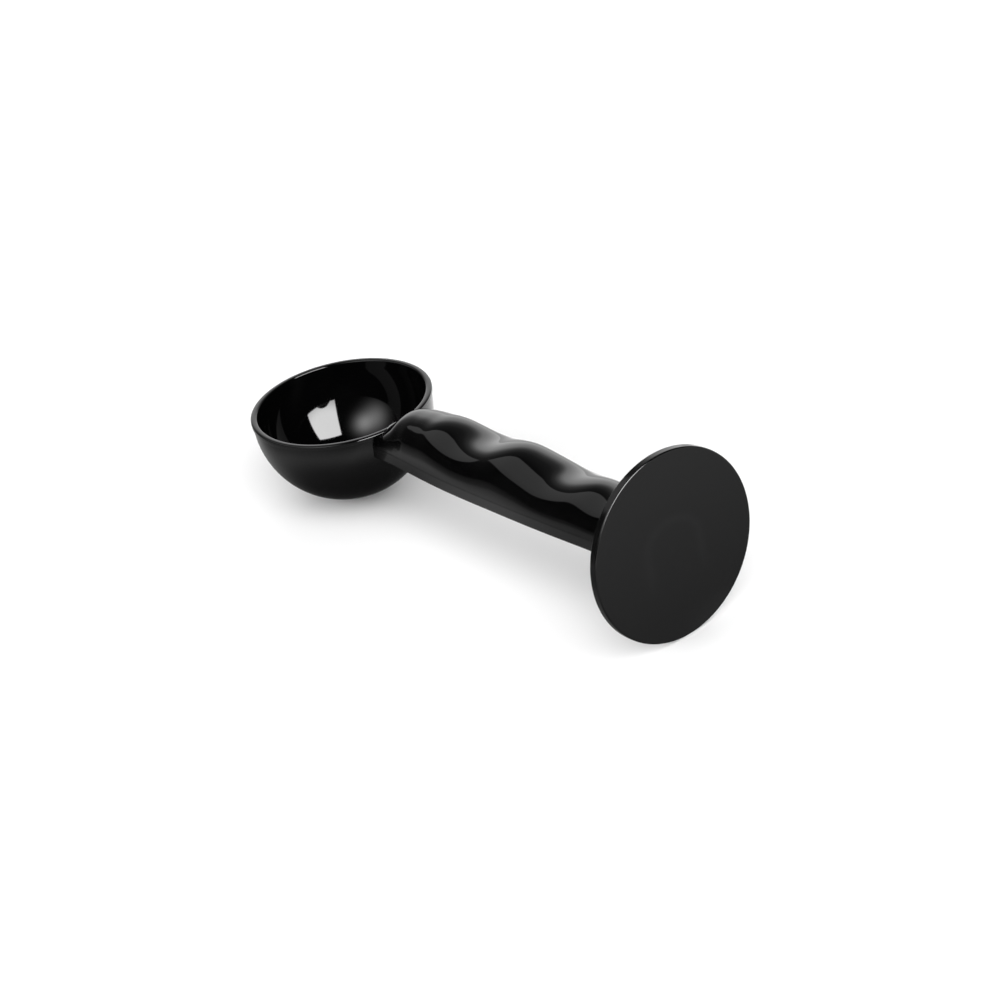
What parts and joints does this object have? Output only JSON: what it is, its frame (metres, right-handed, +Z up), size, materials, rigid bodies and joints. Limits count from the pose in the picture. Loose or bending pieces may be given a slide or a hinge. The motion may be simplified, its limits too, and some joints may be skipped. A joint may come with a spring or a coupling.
{
  "type": "coffee scoop with tamper",
  "caption": "Measuring scoop for ground coffee with a round hemispherical bowl, a finger-waved handle and a flat tamper disc on the other end.",
  "frame": {"origin": "centre of the tamper disc's working face", "axes": "+X along the handle, out of the tamper's working face; +Z up, square to the rim of the bowl; the bowl is at the -X end"},
  "size_m": [0.1547, 0.05, 0.05],
  "materials": {
    "bowl": "high-gloss black moulded plastic",
    "grip": "high-gloss black moulded plastic",
    "tray": "high-gloss black moulded plastic",
    "tamper": "high-gloss black moulded plastic, with the working face a little less glossy"
  },
  "bodies": {
    "root": {"scoop_bowl": "bowl", "grip_shell": "grip", "handle_tray": "tray", "tamper_disc": "tamper"}
  },
  "joints": []
}
